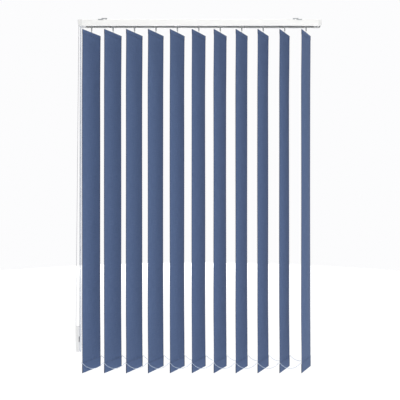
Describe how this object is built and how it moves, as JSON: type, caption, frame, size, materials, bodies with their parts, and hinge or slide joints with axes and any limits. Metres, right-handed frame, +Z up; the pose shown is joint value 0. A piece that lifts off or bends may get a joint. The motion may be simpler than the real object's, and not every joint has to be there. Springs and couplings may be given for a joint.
{
  "type": "vertical blind",
  "caption": "Wall-mounted vertical blind: fabric vanes on a slim headrail, linked by spacer chains at the foot, with a tilt chain and a weighted traverse cord at one end.",
  "frame": {"origin": "centre of the four wall screws, on the wall's face", "axes": "+X to the right along the rail as seen from the room, +Y into the wall, +Z up"},
  "size_m": [1.2789, 0.1383, 1.865],
  "materials": {
    "rail": "white powder coat, satin",
    "bracket": "zinc-plated steel",
    "housing": "white moulded plastic",
    "rod": "extruded, bare",
    "inner_plastic": "natural acetal",
    "carrier": "dark grey moulded plastic",
    "stem": "translucent grey plastic",
    "vane_fabric": "woven blue cloth",
    "chain": "pale bead chain",
    "cord": "white braided cord",
    "weight": "white moulded plastic"
  },
  "bodies": {
    "headrail": {"headrail": "rail", "wall_brackets": "bracket", "control_end_housing": "housing", "idle_end_housing": "housing", "carrier_01": "carrier", "traverse_cord_inside": "cord", "traverse_cord_loop": "cord", "cord_weight": "weight", "operating_chain": "chain"},
    "tilt_rod": {"tilt_rod": "rod"},
    "chain_wheel": {"chain_wheel": "inner_plastic"},
    "spacer_chain_front": {"spacer_chain_front": "chain"},
    "spacer_chain_back": {"spacer_chain_back": "chain"},
    "cord_weight_pulley": {"cord_weight_pulley": "inner_plastic"},
    "control_pulley_front": {"control_pulley_front": "inner_plastic"},
    "control_pulley_back": {"control_pulley_back": "inner_plastic"},
    "return_pulley": {"return_pulley": "inner_plastic"},
    "carrier_02": {"carrier_02": "carrier"},
    "carrier_03": {"carrier_03": "carrier"},
    "carrier_04": {"carrier_04": "carrier"},
    "carrier_05": {"carrier_05": "carrier"},
    "carrier_06": {"carrier_06": "carrier"},
    "carrier_07": {"carrier_07": "carrier"},
    "carrier_08": {"carrier_08": "carrier"},
    "carrier_09": {"carrier_09": "carrier"},
    "carrier_10": {"carrier_10": "carrier"},
    "carrier_11": {"carrier_11": "carrier"},
    "vane_01": {"stem_01": "stem", "vane_01": "vane_fabric"},
    "worm_01": {"worm_01": "inner_plastic"},
    "vane_02": {"stem_02": "stem", "vane_02": "vane_fabric"},
    "worm_02": {"worm_02": "inner_plastic"},
    "vane_03": {"stem_03": "stem", "vane_03": "vane_fabric"},
    "worm_03": {"worm_03": "inner_plastic"},
    "vane_04": {"stem_04": "stem", "vane_04": "vane_fabric"},
    "worm_04": {"worm_04": "inner_plastic"},
    "vane_05": {"stem_05": "stem", "vane_05": "vane_fabric"},
    "worm_05": {"worm_05": "inner_plastic"},
    "vane_06": {"stem_06": "stem", "vane_06": "vane_fabric"},
    "worm_06": {"worm_06": "inner_plastic"},
    "vane_07": {"stem_07": "stem", "vane_07": "vane_fabric"},
    "worm_07": {"worm_07": "inner_plastic"},
    "vane_08": {"stem_08": "stem", "vane_08": "vane_fabric"},
    "worm_08": {"worm_08": "inner_plastic"},
    "vane_09": {"stem_09": "stem", "vane_09": "vane_fabric"},
    "worm_09": {"worm_09": "inner_plastic"},
    "vane_10": {"stem_10": "stem", "vane_10": "vane_fabric"},
    "worm_10": {"worm_10": "inner_plastic"},
    "vane_11": {"stem_11": "stem", "vane_11": "vane_fabric"},
    "worm_11": {"worm_11": "inner_plastic"}
  },
  "joints": [
    {"name": "traverse_11", "type": "slide", "parent": "headrail", "child": "carrier_11", "axis": [-1, 0, 0], "range_m": [0, 0.86], "deforming": ["spacer_chain_front", "spacer_chain_back"]},
    {"name": "traverse_02", "type": "slide", "parent": "headrail", "child": "carrier_02", "axis": [-1, 0, 0], "range_m": [0, 0.086]},
    {"name": "traverse_03", "type": "slide", "parent": "headrail", "child": "carrier_03", "axis": [-1, 0, 0], "range_m": [0, 0.172]},
    {"name": "traverse_04", "type": "slide", "parent": "headrail", "child": "carrier_04", "axis": [-1, 0, 0], "range_m": [0, 0.258]},
    {"name": "traverse_05", "type": "slide", "parent": "headrail", "child": "carrier_05", "axis": [-1, 0, 0], "range_m": [0, 0.344]},
    {"name": "traverse_06", "type": "slide", "parent": "headrail", "child": "carrier_06", "axis": [-1, 0, 0], "range_m": [0, 0.43]},
    {"name": "traverse_07", "type": "slide", "parent": "headrail", "child": "carrier_07", "axis": [-1, 0, 0], "range_m": [0, 0.516]},
    {"name": "traverse_08", "type": "slide", "parent": "headrail", "child": "carrier_08", "axis": [-1, 0, 0], "range_m": [0, 0.602]},
    {"name": "traverse_09", "type": "slide", "parent": "headrail", "child": "carrier_09", "axis": [-1, 0, 0], "range_m": [0, 0.688]},
    {"name": "traverse_10", "type": "slide", "parent": "headrail", "child": "carrier_10", "axis": [-1, 0, 0], "range_m": [0, 0.774]},
    {"name": "tilt_01", "type": "hinge", "parent": "headrail", "child": "vane_01", "pos_m": [-0.566, -0.078, -0.0597], "axis": [0, 0, 1], "range_deg": [-38.3, 105.7]},
    {"name": "worm_turn_01", "type": "hinge", "parent": "headrail", "child": "worm_01", "pos_m": [-0.566, -0.0687, -0.0467], "axis": [1, 0, 0], "range_deg": [-154.2, 423.8]},
    {"name": "tilt_02", "type": "hinge", "parent": "carrier_02", "child": "vane_02", "pos_m": [-0.454, -0.078, -0.0597], "axis": [0, 0, 1], "range_deg": [-38.3, 105.7]},
    {"name": "worm_turn_02", "type": "hinge", "parent": "carrier_02", "child": "worm_02", "pos_m": [-0.454, -0.0687, -0.0467], "axis": [1, 0, 0], "range_deg": [-154.2, 423.8]},
    {"name": "tilt_03", "type": "hinge", "parent": "carrier_03", "child": "vane_03", "pos_m": [-0.342, -0.078, -0.0597], "axis": [0, 0, 1], "range_deg": [-38.3, 105.7]},
    {"name": "worm_turn_03", "type": "hinge", "parent": "carrier_03", "child": "worm_03", "pos_m": [-0.342, -0.0687, -0.0467], "axis": [1, 0, 0], "range_deg": [-154.2, 423.8]},
    {"name": "tilt_04", "type": "hinge", "parent": "carrier_04", "child": "vane_04", "pos_m": [-0.23, -0.078, -0.0597], "axis": [0, 0, 1], "range_deg": [-38.3, 105.7]},
    {"name": "worm_turn_04", "type": "hinge", "parent": "carrier_04", "child": "worm_04", "pos_m": [-0.23, -0.0687, -0.0467], "axis": [1, 0, 0], "range_deg": [-154.2, 423.8]},
    {"name": "tilt_05", "type": "hinge", "parent": "carrier_05", "child": "vane_05", "pos_m": [-0.118, -0.078, -0.0597], "axis": [0, 0, 1], "range_deg": [-38.3, 105.7]},
    {"name": "worm_turn_05", "type": "hinge", "parent": "carrier_05", "child": "worm_05", "pos_m": [-0.118, -0.0687, -0.0467], "axis": [1, 0, 0], "range_deg": [-154.2, 423.8]},
    {"name": "tilt_06", "type": "hinge", "parent": "carrier_06", "child": "vane_06", "pos_m": [-0.006, -0.078, -0.0597], "axis": [0, 0, 1], "range_deg": [-38.3, 105.7]},
    {"name": "worm_turn_06", "type": "hinge", "parent": "carrier_06", "child": "worm_06", "pos_m": [-0.006, -0.0687, -0.0467], "axis": [1, 0, 0], "range_deg": [-154.2, 423.8]},
    {"name": "tilt_07", "type": "hinge", "parent": "carrier_07", "child": "vane_07", "pos_m": [0.106, -0.078, -0.0597], "axis": [0, 0, 1], "range_deg": [-38.3, 105.7]},
    {"name": "worm_turn_07", "type": "hinge", "parent": "carrier_07", "child": "worm_07", "pos_m": [0.106, -0.0687, -0.0467], "axis": [1, 0, 0], "range_deg": [-154.2, 423.8]},
    {"name": "tilt_08", "type": "hinge", "parent": "carrier_08", "child": "vane_08", "pos_m": [0.218, -0.078, -0.0597], "axis": [0, 0, 1], "range_deg": [-38.3, 105.7]},
    {"name": "worm_turn_08", "type": "hinge", "parent": "carrier_08", "child": "worm_08", "pos_m": [0.218, -0.0687, -0.0467], "axis": [1, 0, 0], "range_deg": [-154.2, 423.8]},
    {"name": "tilt_09", "type": "hinge", "parent": "carrier_09", "child": "vane_09", "pos_m": [0.33, -0.078, -0.0597], "axis": [0, 0, 1], "range_deg": [-38.3, 105.7]},
    {"name": "worm_turn_09", "type": "hinge", "parent": "carrier_09", "child": "worm_09", "pos_m": [0.33, -0.0687, -0.0467], "axis": [1, 0, 0], "range_deg": [-154.2, 423.8]},
    {"name": "tilt_10", "type": "hinge", "parent": "carrier_10", "child": "vane_10", "pos_m": [0.442, -0.078, -0.0597], "axis": [0, 0, 1], "range_deg": [-38.3, 105.7]},
    {"name": "worm_turn_10", "type": "hinge", "parent": "carrier_10", "child": "worm_10", "pos_m": [0.442, -0.0687, -0.0467], "axis": [1, 0, 0], "range_deg": [-154.2, 423.8]},
    {"name": "tilt_11", "type": "hinge", "parent": "carrier_11", "child": "vane_11", "pos_m": [0.554, -0.078, -0.0597], "axis": [0, 0, 1], "range_deg": [-38.3, 105.7]},
    {"name": "worm_turn_11", "type": "hinge", "parent": "carrier_11", "child": "worm_11", "pos_m": [0.554, -0.0687, -0.0467], "axis": [1, 0, 0], "range_deg": [-154.2, 423.8]},
    {"name": "rod_turn", "type": "hinge", "parent": "headrail", "child": "tilt_rod", "pos_m": [0, -0.0687, -0.0467], "axis": [1, 0, 0], "range_deg": [-154.2, 423.8]},
    {"name": "wheel_turn", "type": "hinge", "parent": "headrail", "child": "chain_wheel", "pos_m": [-0.623, -0.078, -0.0467], "axis": [1, 0, 0], "range_deg": [-245.78, 89.69]},
    {"name": "chain_swing_front", "type": "hinge", "parent": "vane_01", "child": "spacer_chain_front", "pos_m": [-0.60384, -0.13474, -1.7952], "axis": [0, 0, 1], "range_deg": [-105.7, 38.3]},
    {"name": "chain_swing_back", "type": "hinge", "parent": "vane_01", "child": "spacer_chain_back", "pos_m": [-0.52816, -0.02126, -1.7952], "axis": [0, 0, 1], "range_deg": [-105.7, 38.3]},
    {"name": "front_pulley_turn", "type": "hinge", "parent": "headrail", "child": "control_pulley_front", "pos_m": [-0.621, -0.0927, -0.0475], "axis": [0, -1, 0], "range_deg": [0, 6164.3]},
    {"name": "back_pulley_turn", "type": "hinge", "parent": "headrail", "child": "control_pulley_back", "pos_m": [-0.621, -0.0633, -0.0475], "axis": [0, 1, 0], "range_deg": [0, 6164.3]},
    {"name": "return_pulley_turn", "type": "hinge", "parent": "headrail", "child": "return_pulley", "pos_m": [0.6103, -0.078, -0.0395], "axis": [0, 0, -1], "range_deg": [0, 3357]},
    {"name": "weight_pulley_turn", "type": "hinge", "parent": "headrail", "child": "cord_weight_pulley", "pos_m": [-0.6385, -0.078, -1.636], "axis": [0, -1, 0], "range_deg": [0, 5191.8]}
  ],
  "couplings": [
    {"joint": "traverse_02", "follows": "traverse_11", "ratio": 0.1},
    {"joint": "traverse_03", "follows": "traverse_11", "ratio": 0.2},
    {"joint": "traverse_04", "follows": "traverse_11", "ratio": 0.3},
    {"joint": "traverse_05", "follows": "traverse_11", "ratio": 0.4},
    {"joint": "traverse_06", "follows": "traverse_11", "ratio": 0.5},
    {"joint": "traverse_07", "follows": "traverse_11", "ratio": 0.6},
    {"joint": "traverse_08", "follows": "traverse_11", "ratio": 0.7},
    {"joint": "traverse_09", "follows": "traverse_11", "ratio": 0.8},
    {"joint": "traverse_10", "follows": "traverse_11", "ratio": 0.9},
    {"joint": "worm_turn_01", "follows": "tilt_01", "ratio": 4},
    {"joint": "tilt_02", "follows": "tilt_01", "ratio": 1},
    {"joint": "worm_turn_02", "follows": "tilt_01", "ratio": 4},
    {"joint": "tilt_03", "follows": "tilt_01", "ratio": 1},
    {"joint": "worm_turn_03", "follows": "tilt_01", "ratio": 4},
    {"joint": "tilt_04", "follows": "tilt_01", "ratio": 1},
    {"joint": "worm_turn_04", "follows": "tilt_01", "ratio": 4},
    {"joint": "tilt_05", "follows": "tilt_01", "ratio": 1},
    {"joint": "worm_turn_05", "follows": "tilt_01", "ratio": 4},
    {"joint": "tilt_06", "follows": "tilt_01", "ratio": 1},
    {"joint": "worm_turn_06", "follows": "tilt_01", "ratio": 4},
    {"joint": "tilt_07", "follows": "tilt_01", "ratio": 1},
    {"joint": "worm_turn_07", "follows": "tilt_01", "ratio": 4},
    {"joint": "tilt_08", "follows": "tilt_01", "ratio": 1},
    {"joint": "worm_turn_08", "follows": "tilt_01", "ratio": 4},
    {"joint": "tilt_09", "follows": "tilt_01", "ratio": 1},
    {"joint": "worm_turn_09", "follows": "tilt_01", "ratio": 4},
    {"joint": "tilt_10", "follows": "tilt_01", "ratio": 1},
    {"joint": "worm_turn_10", "follows": "tilt_01", "ratio": 4},
    {"joint": "tilt_11", "follows": "tilt_01", "ratio": 1},
    {"joint": "worm_turn_11", "follows": "tilt_01", "ratio": 4},
    {"joint": "rod_turn", "follows": "tilt_01", "ratio": 4},
    {"joint": "wheel_turn", "follows": "tilt_01", "ratio": -2.3158},
    {"joint": "chain_swing_front", "follows": "tilt_01", "ratio": -1},
    {"joint": "chain_swing_back", "follows": "tilt_01", "ratio": -1},
    {"joint": "front_pulley_turn", "follows": "traverse_11", "rad_per_m": 125},
    {"joint": "back_pulley_turn", "follows": "traverse_11", "rad_per_m": 125},
    {"joint": "return_pulley_turn", "follows": "traverse_11", "rad_per_m": 68.027},
    {"joint": "weight_pulley_turn", "follows": "traverse_11", "rad_per_m": 105.26}
  ]
}
